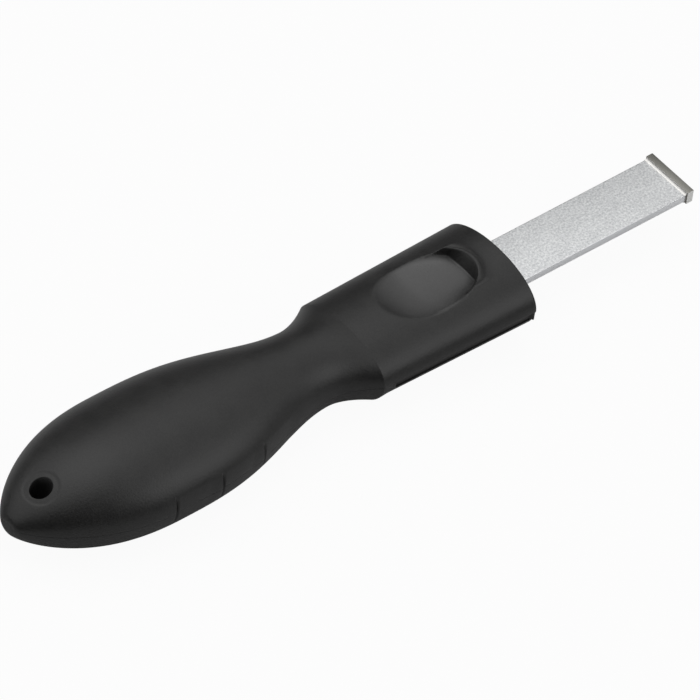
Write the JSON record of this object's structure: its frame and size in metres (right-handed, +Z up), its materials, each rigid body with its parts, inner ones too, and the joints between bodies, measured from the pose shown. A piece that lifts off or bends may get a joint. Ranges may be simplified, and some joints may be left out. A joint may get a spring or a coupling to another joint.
{
  "type": "carbide scraper",
  "caption": "Hand scraper with a bulbous black plastic handle, a thumb scoop on the split head and a flat zinc-plated blade with a carbide bar brazed across its end.",
  "frame": {"origin": "under the middle of the tool's length, on the plane that the belly of the handle rests on", "axes": "+X from the tail of the handle to the carbide tip, +Y to the left of someone pushing the tool, +Z up to the thumb scoop"},
  "size_m": [0.175, 0.033, 0.0191],
  "materials": {
    "handle_plastic": "fine spark-eroded texture",
    "zinc_plated_steel": "bright zinc plate with a fine grain",
    "silver_braze": "bright braze fillet",
    "carbide": "ground grey carbide",
    "screw_steel": "plated steel",
    "insert_brass": "turned brass"
  },
  "bodies": {
    "handle": {"upper_shell": "handle_plastic", "lower_shell": "handle_plastic", "head_screw_left": "screw_steel", "head_screw_right": "screw_steel", "head_insert_left": "insert_brass", "head_insert_right": "insert_brass", "grip_screw_rear": "screw_steel", "grip_screw_front": "screw_steel"},
    "blade": {"blade_shank": "zinc_plated_steel", "braze_joint": "silver_braze", "carbide_tip": "carbide"}
  },
  "joints": [
    {"name": "blade_slide", "type": "slide", "parent": "handle", "child": "blade", "axis": [1, 0, 0], "range_m": [0, 0.034]}
  ]
}
